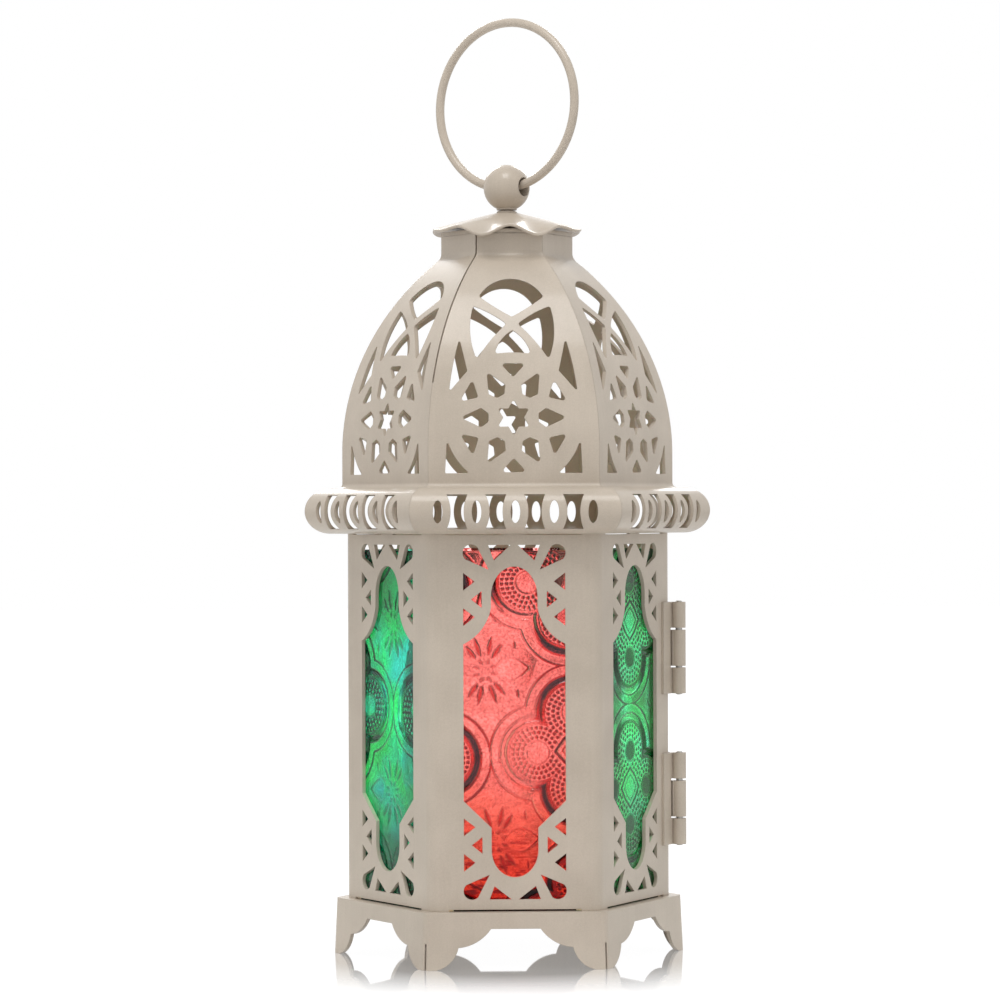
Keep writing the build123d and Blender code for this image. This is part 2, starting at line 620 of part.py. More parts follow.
with BuildPart() as door_pull:
    # Turned knob soldered near the free edge; the sketch's y axis points out of the door.
    face = wall_plane(DOOR_TURN, BODY_FACE)
    foot = face.origin + face.x_dir * PULL_OFFSET + Vector(0, 0, PULL_HEIGHT)
    with BuildSketch(Plane(origin=foot, x_dir=(0, 0, 1), z_dir=face.x_dir)):
        with BuildLine():
            knob = 2.4
            neck = 1.1
            knob_middle = 4.4
            knob_foot = knob_middle - sqrt(knob**2 - neck**2)
            Polyline((0, 0), (2.3, 0), (2.3, 0.6), (neck, 1.2), (neck, knob_foot))
            ThreePointArc((neck, knob_foot), (knob, knob_middle), (0, knob_middle + knob))
            Line((0, knob_middle + knob), (0, 0))
        make_face()
    revolve(axis=Axis(foot, face.z_dir))
save(door_pull.part, "door_pull")

with BuildPart() as door_stop:
    # Angle strip soldered inside the free jamb, shaped to the bend it sits in; the hem closes against it.
    with BuildSketch(plan_plane(DOOR_TURN, DOOR_BOTTOM + 1)):
        with BuildLine():
            stop = BODY_INSIDE - SHEET - 0.3
            Polyline(
                (15.5, -stop),
                (17.1, -stop),
                (17.1, -BODY_FACE + 0.3),
                (17.8, -BODY_FACE + 0.3),
                (17.8, -stop + 0.6),
                (15.5, -stop + 0.6),
                close=True,
            )
        make_face()
    extrude(amount=DOOR_TOP - DOOR_BOTTOM - 2)
    add(body_shell.part, mode=Mode.SUBTRACT)
save(door_stop.part, "door_stop")

# ---- Hinges ------------------------------------------------------------------------------------------------
HINGE_U = HINGE_AXIS * SIN30
HINGE_OUT = HINGE_AXIS * COS30
PLATE_EDGE = HINGE_U - 2.0  # the plate stops here beside the other leaf's knuckle


def leaf(turn, side, reach, bottom, knuckles, bore):
    """Hinge leaf on the outside of a wall: a plate, and its own knuckles joined to it by short tabs."""
    own_top = KNUCKLES[-1][1]
    with BuildPart() as plate:
        with BuildSketch(plan_plane(turn, bottom)):
            with Locations((side * (HINGE_U - reach), -BODY_FACE)):
                Rectangle(
                    reach - (HINGE_U - PLATE_EDGE),
                    LEAF_SHEET,
                    align=(Align.MIN if side > 0 else Align.MAX, Align.MAX),
                )
        extrude(amount=own_top)
        for low, high in knuckles:
            with BuildSketch(plan_plane(turn, bottom + low)):
                with Locations((side * HINGE_U, -BODY_FACE)):
                    Rectangle(
                        HINGE_U - PLATE_EDGE + 0.2,
                        LEAF_SHEET,
                        align=(Align.MAX if side > 0 else Align.MIN, Align.MAX),
                    )
                with Locations((side * HINGE_U, -HINGE_OUT)):
                    Circle(KNUCKLE_RADIUS)
                    Circle(bore, mode=Mode.SUBTRACT)
            extrude(amount=high - low)
    return plate.part


for place, bottom in HINGE_BOTTOMS.items():
    frame_knuckles = (KNUCKLES[0], KNUCKLES[2])
    frame_leaf = leaf(WALLS["front_right"], 1, FRAME_LEAF_REACH, bottom, frame_knuckles, HINGE_PIN)
    save(frame_leaf, f"hinge_frame_leaf_{place}")
    door_leaf = leaf(DOOR_TURN, -1, DOOR_LEAF_REACH, bottom, KNUCKLES[1:2], HINGE_PIN + HINGE_FIT)
    save(door_leaf, f"hinge_door_leaf_{place}")
    with BuildPart() as hinge_pin:
        with BuildSketch(Plane.XY.offset(bottom - 0.3)):
            with Locations((HINGE_AXIS, 0)):
                Circle(HINGE_PIN)
        extrude(amount=KNUCKLES[-1][1] + 0.6)
        chamfer(hinge_pin.edges().filter_by(GeomType.CIRCLE), 0.2)
    save(hinge_pin.part, f"hinge_pin_{place}")
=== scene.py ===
"""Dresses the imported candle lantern: painted tin plate, pressed glass, wire and pins, on a white studio table.

Everything is in metres in the row frame: +Z up, the front wall faces -Y, the door hinges stand at the +X corner.
"""
import logging
import math
from dataclasses import dataclass
from enum import Enum

import bpy
import numpy as np
from mathutils import Euler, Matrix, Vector


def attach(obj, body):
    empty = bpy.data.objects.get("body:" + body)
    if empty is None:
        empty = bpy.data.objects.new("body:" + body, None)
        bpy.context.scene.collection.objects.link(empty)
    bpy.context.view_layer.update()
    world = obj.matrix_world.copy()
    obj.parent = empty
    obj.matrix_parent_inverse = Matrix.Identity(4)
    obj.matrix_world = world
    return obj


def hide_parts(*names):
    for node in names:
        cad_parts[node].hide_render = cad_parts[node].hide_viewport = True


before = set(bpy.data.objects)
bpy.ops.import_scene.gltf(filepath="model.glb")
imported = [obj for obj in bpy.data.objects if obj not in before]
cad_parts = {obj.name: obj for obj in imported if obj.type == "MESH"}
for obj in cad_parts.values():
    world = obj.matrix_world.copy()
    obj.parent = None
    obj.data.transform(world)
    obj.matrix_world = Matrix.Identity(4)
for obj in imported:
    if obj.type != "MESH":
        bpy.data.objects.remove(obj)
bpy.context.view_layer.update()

LOG = logging.getLogger("lantern")
MM = 0.001
MULTIPLY = {"operation": "MULTIPLY"}
MAXIMUM = {"operation": "MAXIMUM"}
COLOURS = {"data_type": "RGBA"}


# ---- Small tools -------------------------------------------------------------------------------------------
def linear(hex_colour: str) -> tuple[float, float, float, float]:
    """Turn an sRGB hex colour into linear light.

    Args:
        hex_colour: Six hex digits, such as "BEB3A4".

    Returns:
        Linear red, green and blue, and an alpha of 1.
    """
    channels = [int(hex_colour[i : i + 2], 16) / 255 for i in (0, 2, 4)]
    return (*[c / 12.92 if c <= 0.04045 else ((c + 0.055) / 1.055) ** 2.4 for c in channels], 1.0)


def node(
    tree: bpy.types.NodeTree, kind: str, settings: dict | None = None, links: dict | None = None, **values
) -> bpy.types.Node:
    """Add one shader node.

    Args:
        tree: Node tree that gets the node.
        kind: Blender's type name of the node.
        settings: Properties of the node itself, such as its operation.
        links: Input name or index to the output socket that feeds it.
        **values: Input values, with underscores for the spaces of the socket's name.

    Returns:
        The new node.
    """
    made = tree.nodes.new(kind)
    for name, value in (settings or {}).items():
        setattr(made, name, value)
    for name, value in values.items():
        made.inputs[name.replace("_", " ")].default_value = value
    for name, socket in (links or {}).items():
        tree.links.new(socket, made.inputs[name])
    return made


def mesh_object(name: str, vertices: np.ndarray, *faces: np.ndarray, smooth: bool = True) -> bpy.types.Object:
    """Make an object from arrays of points and faces.

    Args:
        name: Name of the object and its mesh.
        vertices: (n, 3) points in metres.
        *faces: Arrays (m, k) of vertex numbers of k-cornered faces, counterclockwise from outside.
        smooth: Whether the faces are shaded smooth.

    Returns:
        The object, linked into the scene, at the origin.
    """
    mesh = bpy.data.meshes.new(name)
    corners = np.concatenate([block.ravel() for block in faces]).astype(np.int32)
    sizes = np.concatenate([np.full(len(block), block.shape[1]) for block in faces])
    mesh.vertices.add(len(vertices))
    mesh.vertices.foreach_set("co", np.ascontiguousarray(vertices, np.float32).ravel())
    mesh.loops.add(len(corners))
    mesh.loops.foreach_set("vertex_index", corners)
    mesh.polygons.add(len(sizes))
    mesh.polygons.foreach_set("loop_start", (np.cumsum(sizes) - sizes).astype(np.int32))
    mesh.polygons.foreach_set("use_smooth", np.full(len(sizes), smooth))
    mesh.update(calc_edges=True)
    mesh.validate()
    made = bpy.data.objects.new(name, mesh)
    bpy.context.scene.collection.objects.link(made)
    return made


def grid_quads(rows: int, columns: int, closed: bool = False) -> np.ndarray:
    """Number the quads of a grid of points stored row by row.

    Args:
        rows: Rows of points.
        columns: Points in each row.
        closed: Whether the last column joins the first and the last row joins the first, as on a torus.

    Returns:
        (n, 4) vertex numbers, counterclockwise where the columns run right and the rows run up.
    """
    row = np.arange(rows if closed else rows - 1)[:, None]
    column = np.arange(columns if closed else columns - 1)[None, :]
    above, right = (row + 1) % rows, (column + 1) % columns
    corners = [row * columns + column, row * columns + right, above * columns + right, above * columns + column]
    return np.stack(np.broadcast_arrays(*corners), -1).reshape(-1, 4)


def smooth_step(t: np.ndarray) -> np.ndarray:
    """Smooth rise from 0 to 1: t squared times (3 - 2 t), with t held between 0 and 1."""
    t = np.clip(t, 0, 1)
    return t**2 * (3 - 2 * t)


# ---- Finishes ----------------------------------------------------------------------------------------------
class Slot(Enum):
    """Names of the record's material slots; each pane is given one."""

    PAINT = "painted_metal"
    ROSE = "rose_glass"
    AQUA = "aqua_glass"
    LEAF = "leaf_glass"


@dataclass(frozen=True)
class PaintedTinplate:
    """Tin plate, pressed and pierced, then sprayed with a warm grey-beige enamel.

    To the eye it is a satin beige. It is a little greyer here and there where the coat is thin, has very faint
    upright streaks from the spray, a fine grain, and the orange peel of a sprayed coat in its shine.
    """

    name: str = "painted_tinplate"
    coat: str = "BBAFA0"
    thin: str = "B4A899"
    pale: str = "C2B6A7"
    roughness: float = 0.4
    gloss: float = 0.3
    specular: float = 0.25
    gloss_roughness: float = 0.14
    streak_mm: float = 0.9
    streak_share: float = 0.12
    streak_flat: float = 0.06
    mottle_mm: float = 14.0
    mottle_share: float = 0.55
    grain_mm: float = 0.28
    grain_share: float = 0.33
    tone_range: tuple[float, float] = (0.36, 0.64)
    satin_range: tuple[float, float] = (-0.05, 0.08)
    peel_mm: float = 0.45
    peel_strength: float = 0.15
    peel_depth_mm: float = 0.03
    edge_mm: float = 0.22

    def build(self) -> bpy.types.Material:
        """Make the material.

        Returns:
            A Principled material whose colour, roughness and bump read Object coordinates.
        """
        material = bpy.data.materials.new(self.name)
        material.use_nodes = True
        tree = material.node_tree
        shader = tree.nodes["Principled BSDF"]
        place = node(tree, "ShaderNodeTexCoord").outputs["Object"]
        # Streaks run upright: the pattern is drawn out about 17 times along Z.
        drawn = node(tree, "ShaderNodeMapping", links={"Vector": place}, Scale=(1.0, 1.0, self.streak_flat)).outputs[0]
        tone = None
        layers = (
            (drawn, self.streak_mm, self.streak_share),
            (place, self.mottle_mm, self.mottle_share),
            (place, self.grain_mm, self.grain_share),
        )
        for vector, size_mm, share in layers:
            noise = node(tree, "ShaderNodeTexNoise", links={"Vector": vector}, Scale=1 / (size_mm * MM), Detail=2.0)
            part = node(tree, "ShaderNodeMath", {"operation": "MULTIPLY_ADD"}, {0: noise.outputs["Fac"]})
            part.inputs[1].default_value = share
            if tone is None:
                part.inputs[2].default_value = 0.0
            else:
                tree.links.new(tone, part.inputs[2])
            tone = part.outputs[0]
            if size_mm == self.mottle_mm:
                mottle = noise.outputs["Fac"]
        low, high = self.tone_range
        spread = node(tree, "ShaderNodeMapRange", links={"Value": tone}, From_Min=low, From_Max=high)
        ramp = node(tree, "ShaderNodeValToRGB", links={"Fac": spread.outputs[0]})
        stops = ramp.color_ramp.elements
        stops[0].color, stops[1].color = linear(self.thin), linear(self.pale)
        stops.new(0.5).color = linear(self.coat)
        tree.links.new(ramp.outputs["Color"], shader.inputs["Base Color"])
        low, high = (self.roughness + step for step in self.satin_range)
        rough = node(tree, "ShaderNodeMapRange", links={"Value": mottle}, To_Min=low, To_Max=high)
        tree.links.new(rough.outputs[0], shader.inputs["Roughness"])
        shader.inputs["Specular IOR Level"].default_value = self.specular
        shader.inputs["Coat Weight"].default_value = self.gloss
        shader.inputs["Coat Roughness"].default_value = self.gloss_roughness
        # The coat rounds every cut edge a little, so that the edges catch the light.
        edge = node(tree, "ShaderNodeBevel", {"samples": 4}, Radius=self.edge_mm * MM)
        peel = node(tree, "ShaderNodeTexNoise", links={"Vector": place}, Scale=1 / (self.peel_mm * MM), Detail=1.0)
        bump = node(
            tree,
            "ShaderNodeBump",
            links={"Height": peel.outputs["Fac"], "Normal": edge.outputs[0]},
            Strength=self.peel_strength,
            Distance=self.peel_depth_mm * MM,
        )
        tree.links.new(bump.outputs[0], shader.inputs["Normal"])
        tree.links.new(bump.outputs[0], shader.inputs["Coat Normal"])
        return material


@dataclass(frozen=True)
class BareSteel:
    """Mild steel strip and wire, drawn or rolled and left bare: a soft grey shine with fine lines along it."""

    name: str = "bare_mild_steel"
    steel: str = "B4B1AC"
    roughness: float = 0.34
    line_mm: float = 0.4
    line_flat: float = 0.1
    shine_range: tuple[float, float] = (-0.08, 0.12)
    line_strength: float = 0.1
    line_depth_mm: float = 0.03

    def build(self) -> bpy.types.Material:
        """Make the material.

        Returns:
            A metal whose roughness and bump follow fine upright drawing lines.
        """
        material = bpy.data.materials.new(self.name)
        material.use_nodes = True
        tree = material.node_tree
        shader = tree.nodes["Principled BSDF"]
        shader.inputs["Base Color"].default_value = linear(self.steel)
        shader.inputs["Metallic"].default_value = 1.0
        place = node(tree, "ShaderNodeTexCoord").outputs["Object"]
        drawn = node(tree, "ShaderNodeMapping", links={"Vector": place}, Scale=(1.0, 1.0, self.line_flat)).outputs[0]
        lines = node(tree, "ShaderNodeTexNoise", links={"Vector": drawn}, Scale=1 / (self.line_mm * MM), Detail=2.0)
        lines = lines.outputs["Fac"]
        low, high = (self.roughness + step for step in self.shine_range)
        rough = node(tree, "ShaderNodeMapRange", links={"Value": lines}, To_Min=low, To_Max=high)
        tree.links.new(rough.outputs[0], shader.inputs["Roughness"])
        depth = self.line_depth_mm * MM
        bump = node(tree, "ShaderNodeBump", links={"Height": lines}, Strength=self.line_strength, Distance=depth)
        tree.links.new(bump.outputs[0], shader.inputs["Normal"])
        return material


@dataclass(frozen=True)
class PressedGlass:
    """Soda-lime glass coloured in the melt and pressed in an engraved mould.

    To the eye it is clear and glossy with a fine stippled ground. The colour carries painted shade: shallow cuts get
    the full colour of the melt, and deep ones near the posts the dark one, as painted shade of the dark corners seen
    through them. Towards the foot the colour is painted heavier, with level dark streaks, as painted shade of the
    dark tray and cup seen through the glass, which scatters a share of the light there. The shade attribute holds the
    painted shade: it runs from the ground's tint at 0 through the full colour at 0.5 to the dark one at 1. Cords of a
    second tint wander through the ground where one is given.
    """

    name: str
    tint: str
    full: str
    dark: str
    foot: str
    roughness: float = 0.1
    ior: float = 1.45
    shine: float = 0.35
    cord: str = ""
    haze: float = 0.5
    clear_haze: float = 0.06
    foot_mm: tuple[float, float] = (42.0, 16.0)
    cord_mm: float = 9.0
    cord_range: tuple[float, float] = (0.44, 0.6)
    stipple_mm: float = 0.5
    stipple_range: tuple[float, float] = (0.45, 0.66)
    stipple_share: float = 0.27
    stipple_strength: float = 0.3
    stipple_depth_mm: float = 0.06
    streak_mm: float = 4.0
    streak_range: tuple[float, float] = (0.46, 0.6)
    streak_share: float = 0.7
    streak_flat: float = 4.0

    def build(self) -> bpy.types.Material:
        """Make the material.

        Returns:
            A transmissive Principled material, tinted by the mesh's shade attribute, that lets lamps through.
        """
        material = bpy.data.materials.new(self.name)
        material.use_nodes = True
        tree = material.node_tree
        shader = tree.nodes["Principled BSDF"]
        shader.inputs["Transmission Weight"].default_value = 1.0
        shader.inputs["Roughness"].default_value = self.roughness
        shader.inputs["IOR"].default_value = self.ior
        shader.inputs["Specular IOR Level"].default_value = self.shine
        place = node(tree, "ShaderNodeTexCoord").outputs["Object"]
        height = node(tree, "ShaderNodeSeparateXYZ", links={"Vector": place}).outputs["Z"]
        start, end = (value * MM for value in self.foot_mm)
        low = node(tree, "ShaderNodeMapRange", links={"Value": height}, From_Min=start, From_Max=end)
        # The melt was stirred little: cords of a second tint wander through it.
        cord = node(tree, "ShaderNodeTexNoise", links={"Vector": place}, Scale=1 / (self.cord_mm * MM), Detail=1.0)
        start, end = self.cord_range
        cord = node(tree, "ShaderNodeMapRange", links={"Value": cord.outputs["Fac"]}, From_Min=start, From_Max=end)
        melt = node(tree, "ShaderNodeMix", COLOURS, {"Factor": cord.outputs[0]})
        melt.inputs["A"].default_value = linear(self.tint)
        melt.inputs["B"].default_value = linear(self.cord or self.tint)
        # Painted shade: towards the foot the ground turns to the deeper foot colour, for the dark tray seen through the
        # glass.
        ground = node(tree, "ShaderNodeMix", COLOURS, {"Factor": low.outputs[0], "A": melt.outputs["Result"]})
        ground.inputs["B"].default_value = linear(self.foot)
        # Painted shade from the mesh: the dark inside, posts and sill seen through the glass.
        shade = node(tree, "ShaderNodeAttribute", {"attribute_name": "shade"}).outputs["Fac"]
        grain = node(tree, "ShaderNodeTexNoise", links={"Vector": place}, Scale=1 / (self.stipple_mm * MM), Detail=1.0)
        start, end = self.stipple_range
        speck = node(tree, "ShaderNodeMapRange", links={"Value": grain.outputs["Fac"]}, From_Min=start, From_Max=end)
        speck.inputs["To Max"].default_value = self.stipple_share
        # Painted shade towards the foot: level dark streaks for the dark tray and cup seen through the glass. The
        # pattern is pressed flat 4 times along Z.
        flat = node(tree, "ShaderNodeMapping", links={"Vector": place}, Scale=(1.0, 1.0, self.streak_flat)).outputs[0]
        painted_shade_streaks = node(tree, "ShaderNodeTexNoise", links={"Vector": flat}, Scale=1 / (self.streak_mm * MM), Detail=2.0)
        start, end = self.streak_range
        painted_shade_streaks = node(tree, "ShaderNodeMapRange", links={"Value": painted_shade_streaks.outputs["Fac"]}, From_Min=start, From_Max=end)
        painted_shade_streaks.inputs["To Max"].default_value = self.streak_share
        painted_shade_streaks = node(tree, "ShaderNodeMath", MULTIPLY, {0: painted_shade_streaks.outputs[0], 1: low.outputs[0]})
        # The stipple's specks, the painted shade and the painted streaks darken the colour, through the full colour to
        # the dark one.
        speck_and_painted_shade = node(tree, "ShaderNodeMath", MAXIMUM, {0: shade, 1: speck.outputs[0]}).outputs[0]
        speck_and_painted_shade = node(tree, "ShaderNodeMath", MAXIMUM, {0: speck_and_painted_shade, 1: painted_shade_streaks.outputs[0]}).outputs[0]
        half = node(tree, "ShaderNodeMapRange", links={"Value": speck_and_painted_shade}, From_Max=0.5)
        deep = node(tree, "ShaderNodeMapRange", links={"Value": speck_and_painted_shade}, From_Min=0.5)
        tone = node(tree, "ShaderNodeMix", COLOURS, {"Factor": half.outputs[0], "A": ground.outputs["Result"]})
        tone.inputs["B"].default_value = linear(self.full)
        tone = node(tree, "ShaderNodeMix", COLOURS, {"Factor": deep.outputs[0], "A": tone.outputs["Result"]})
        tone.inputs["B"].default_value = linear(self.dark)
        colour = tone.outputs["Result"]
        tree.links.new(colour, shader.inputs["Base Color"])
        bump = node(tree, "ShaderNodeBump", links={"Height": grain.outputs["Fac"]}, Strength=self.stipple_strength)
        bump.inputs["Distance"].default_value = self.stipple_depth_mm * MM
        tree.links.new(bump.outputs[0], shader.inputs["Normal"])
        clear = node(tree, "ShaderNodeBsdfTransparent", links={"Color": colour})
        lamp = node(tree, "ShaderNodeLightPath").outputs["Is Shadow Ray"]
        # Near the foot the glass is thick with bubbles and scatters a share of the light.
        haze = node(tree, "ShaderNodeBsdfTranslucent", links={"Color": colour})
        cloud = node(tree, "ShaderNodeMapRange", links={"Value": low.outputs[0]}, To_Min=self.clear_haze)
        cloud.inputs["To Max"].default_value = self.haze
        glass = node(tree, "ShaderNodeMixShader", links={0: cloud.outputs[0], 1: shader.outputs[0], 2: haze.outputs[0]})
        mixed = node(tree, "ShaderNodeMixShader", links={0: lamp, 1: glass.outputs[0], 2: clear.outputs[0]})
        tree.links.new(mixed.outputs[0], tree.nodes["Material Output"].inputs["Surface"])
        return material


# ---- Studio ------------------------------------------------------------------------------------------------
@dataclass(frozen=True)
class SoftBox:
    """Rectangular area lamp aimed at the lantern: its name, place and size in metres, and watts."""

    name: str
    place: tuple[float, float, float]
    width: float
    height: float
    watts: float


@dataclass(frozen=True)
class Fill:
    """Small lamp on the lantern's axis, a disc that shines down or a ball: its size and height in metres, and watts."""

    kind: str
    size: float
    height: float
    watts: float


@dataclass
class Studio:
    """White table and room, soft lamps and the camera.

    The table is white by its own glow to the eye, in mirror images and through glass. A mirror image of it fades from
    table_reach[0] to table_reach[1] metres out. Within mirror_mm of the middle it is polished and mirrors the lantern.
    """

    turn_deg: float = 2.3
    focal_mm: float = 129.46
    eye_mm: tuple[float, float, float] = (-1.83, -849.0, 103.6)
    pitch_deg: float = 0.19
    roll_deg: float = 0.2
    room_level: float = 0.64
    table_half: float = 3.0
    table_glow: float = 0.93
    table_white: float = 0.8
    table_seen_white: float = 0.2
    table_gloss: float = 0.025
    table_ior: float = 1.45
    table_reach: tuple[float, float] = (0.2, 0.6)
    table_far: float = 0.5
    table_mirror: float = 1.55
    mirror_mm: tuple[float, float] = (44.0, 84.0)
    aim: tuple[float, float, float] = (0.0, 0.0, 0.1)
    boxes: tuple[SoftBox, ...] = (
        SoftBox("soft_box_top", (-0.1, -0.52, 1.1), 0.5, 0.5, 6.1),
        SoftBox("soft_box_left", (-0.9, -0.6, 0.35), 0.7, 0.7, 0.5),
        SoftBox("soft_box_right", (0.9, -0.6, 0.35), 0.7, 0.7, 0.5),
        SoftBox("strip_back_left", (-0.33, 1.17, 0.82), 0.34, 0.5, 5.2),
        SoftBox("strip_back_right", (0.32, 1.2, 0.75), 0.18, 0.5, 2.8),
    )
    warm: str = "FFE9CF"
    fills: tuple[Fill, ...] = (Fill("DISK", 0.03, 0.062, 0.045), Fill("POINT", 0.008, 0.108, 0.008))

    def build(self) -> None:
        """Make the camera, the room, the table and the lamps."""
        self.camera()
        self.room()
        self.table()
        self.lamps()

    def camera(self) -> None:
        """Stand the camera in front, turned about the upright axis and tipped a little up."""
        turn = math.radians(-self.turn_deg)
        data = bpy.data.cameras.new("camera")
        data.lens = self.focal_mm
        data.sensor_width = 36.0
        data.clip_start = 0.01
        eye = bpy.data.objects.new("camera", data)
        place = Vector([value * MM for value in self.eye_mm])
        place.rotate(Euler((0, 0, turn)))
        eye.location = place
        aim = Euler((math.radians(90 + self.pitch_deg), 0, turn)).to_matrix()
        eye.rotation_euler = (aim @ Euler((0, 0, math.radians(-self.roll_deg))).to_matrix()).to_euler()
        bpy.context.scene.collection.objects.link(eye)
        bpy.context.scene.camera = eye

    def room(self) -> None:
        """Light evenly from all sides; where the room itself is seen, mirrored or seen through glass, it is white."""
        world = bpy.data.worlds.new("studio_room")
        bpy.context.scene.world = world
        world.use_nodes = True
        tree = world.node_tree
        path = node(tree, "ShaderNodeLightPath").outputs
        seen = node(tree, "ShaderNodeMath", MAXIMUM, {0: path["Is Camera Ray"], 1: path["Is Glossy Ray"]})
        seen = node(tree, "ShaderNodeMath", MAXIMUM, {0: seen.outputs[0], 1: path["Is Transmission Ray"]})
        level = node(tree, "ShaderNodeMapRange", links={"Value": seen.outputs[0]}, To_Min=self.room_level, To_Max=1.0)
        tree.links.new(level.outputs[0], tree.nodes["Background"].inputs["Strength"])
        tree.nodes["Background"].inputs["Color"].default_value = (1, 1, 1, 1)

    def table(self) -> None:
        """Lay a white table, polished where the lantern stands. It stays white by its own light at a flat angle."""
        half = self.table_half
        corners = np.array([(-half, -half, 0), (half, -half, 0), (half, half, 0), (-half, half, 0)])
        top = mesh_object("table_top", corners, np.array([[0, 1, 2, 3]]), smooth=False)
        material = bpy.data.materials.new("polished_white_acrylic")
        material.use_nodes = True
        tree = material.node_tree
        tree.nodes.remove(tree.nodes["Principled BSDF"])
        path = node(tree, "ShaderNodeLightPath").outputs
        place = node(tree, "ShaderNodeTexCoord").outputs["Object"]
        away = node(tree, "ShaderNodeVectorMath", {"operation": "LENGTH"}, {0: place}).outputs["Value"]
        # Rough glass passes rays that count as glossy as well, so a mirror image is what is left without those.
        camera, glossy, through = path["Is Camera Ray"], path["Is Glossy Ray"], path["Is Transmission Ray"]
        image = node(tree, "ShaderNodeMath", {"operation": "SUBTRACT", "use_clamp": True}, {0: glossy, 1: through})
        eye = node(tree, "ShaderNodeMath", MAXIMUM, {0: camera, 1: image.outputs[0]})
        # In a mirror image the table ends soon, and the dim room begins.
        near, far = self.table_reach
        edge = node(tree, "ShaderNodeMapRange", links={"Value": away}, From_Min=near, From_Max=far, To_Min=1.0)
        edge.inputs["To Max"].default_value = self.table_far
        image = node(tree, "ShaderNodeMath", MULTIPLY, {0: image.outputs[0], 1: edge.outputs[0]})
        seen = node(tree, "ShaderNodeMath", MAXIMUM, {0: camera, 1: image.outputs[0]})
        seen = node(tree, "ShaderNodeMath", MAXIMUM, {0: seen.outputs[0], 1: through})
        level = node(tree, "ShaderNodeMapRange", links={"Value": seen.outputs[0]}, To_Min=0.0, To_Max=self.table_glow)
        glow = node(tree, "ShaderNodeEmission", links={"Strength": level.outputs[0]})
        # The eye gets most of the white from the glow and the rest from the lamps; other rays meet a white table.
        white = node(tree, "ShaderNodeMapRange", links={"Value": eye.outputs[0]}, To_Min=self.table_white)
        white.inputs["To Max"].default_value = self.table_seen_white
        matt = node(tree, "ShaderNodeBsdfDiffuse", links={"Color": white.outputs[0]})
        base = node(tree, "ShaderNodeAddShader", links={0: glow.outputs[0], 1: matt.outputs[0]})
        mirror = node(tree, "ShaderNodeBsdfGlossy", Color=(1, 1, 1, 1), Roughness=self.table_gloss)
        bend = node(tree, "ShaderNodeFresnel", IOR=self.table_ior)
        near, far = self.mirror_mm
        polish = node(tree, "ShaderNodeMapRange", links={"Value": away}, From_Min=far * MM, From_Max=near * MM)
        polish.inputs["To Max"].default_value = self.table_mirror
        product = {"operation": "MULTIPLY", "use_clamp": True}
        share = node(tree, "ShaderNodeMath", product, {0: bend.outputs[0], 1: polish.outputs[0]})
        mixed = node(tree, "ShaderNodeMixShader", links={0: share.outputs[0], 1: base.outputs[0], 2: mirror.outputs[0]})
        tree.links.new(mixed.outputs[0], tree.nodes["Material Output"].inputs["Surface"])
        top.data.materials.append(material)

    def lamps(self) -> None:
        """Hang a soft box over the front, one low at each side, and two strips behind for the shine."""
        for box in self.boxes:
            data = bpy.data.lights.new(box.name, "AREA")
            data.shape = "RECTANGLE"
            data.size, data.size_y = box.width, box.height
            data.energy = box.watts
            lamp = bpy.data.objects.new(box.name, data)
            lamp.visible_camera = False
            lamp.location = box.place
            ahead = Vector(self.aim) - Vector(box.place)
            lamp.rotation_euler = ahead.to_track_quat("-Z", "Y").to_euler()
            bpy.context.scene.collection.objects.link(lamp)
        # Small warm fills in the chamber and the dome, as of light that the walls pass to and fro.
        for fill in self.fills:
            flat = fill.kind == "DISK"
            data = bpy.data.lights.new("fill", "AREA" if flat else fill.kind)
            data.energy, data.color = fill.watts, linear(self.warm)[:3]
            if flat:
                data.shape, data.size = fill.kind, fill.size
            else:
                data.shadow_soft_size = fill.size
            lamp = bpy.data.objects.new("fill", data)
            lamp.visible_camera, lamp.location = False, (0, 0, fill.height)
            # They light paint and haze, and leave no spots of their own in the glass.
            lamp.visible_glossy = lamp.visible_transmission = False
            bpy.context.scene.collection.objects.link(lamp)


# ---- Pressed panes -----------------------------------------------------------------------------------------
def groove(distance: np.ndarray, width: float, depth: float) -> np.ndarray:
    """Round-bottomed cut: depth times the root of 1 - (2 distance / width) squared, and 0 outside the width."""
    return depth * np.sqrt(np.clip(1 - (2 * distance / width) ** 2, 0, None))


def teardrop(
    x: np.ndarray, y: np.ndarray, angle: float, near: float, far: float, width: float, depth: float
) -> np.ndarray:
    """Petal-shaped cut that points outwards from a figure's centre.

    Along the petal's own axis s runs 0 to 1 from near to far; the half width is width / 2 * sin(pi s^0.8), and the
    depth falls off across it as the root of 1 - (offset / half width) squared.

    Args:
        x: Distances to the right of the figure's centre, in millimetres.
        y: Distances above it.
        angle: Direction of the petal in degrees, counterclockwise from the right.
        near: Distance from the centre at which the petal starts.
        far: Distance at which it ends.
        width: Its greatest width.
        depth: Its greatest depth.

    Returns:
        Depth of the cut, 0 outside it.
    """
    turn = math.radians(angle)
    along = x * math.cos(turn) + y * math.sin(turn)
    across = -x * math.sin(turn) + y * math.cos(turn)
    s = np.clip((along - near) / (far - near), 0, 1)
    half = width / 2 * np.sin(math.pi * s**0.8)
    return np.where(half > 0.02, depth * np.sqrt(np.clip(1 - (across / np.maximum(half, 0.02)) ** 2, 0, None)), 0)


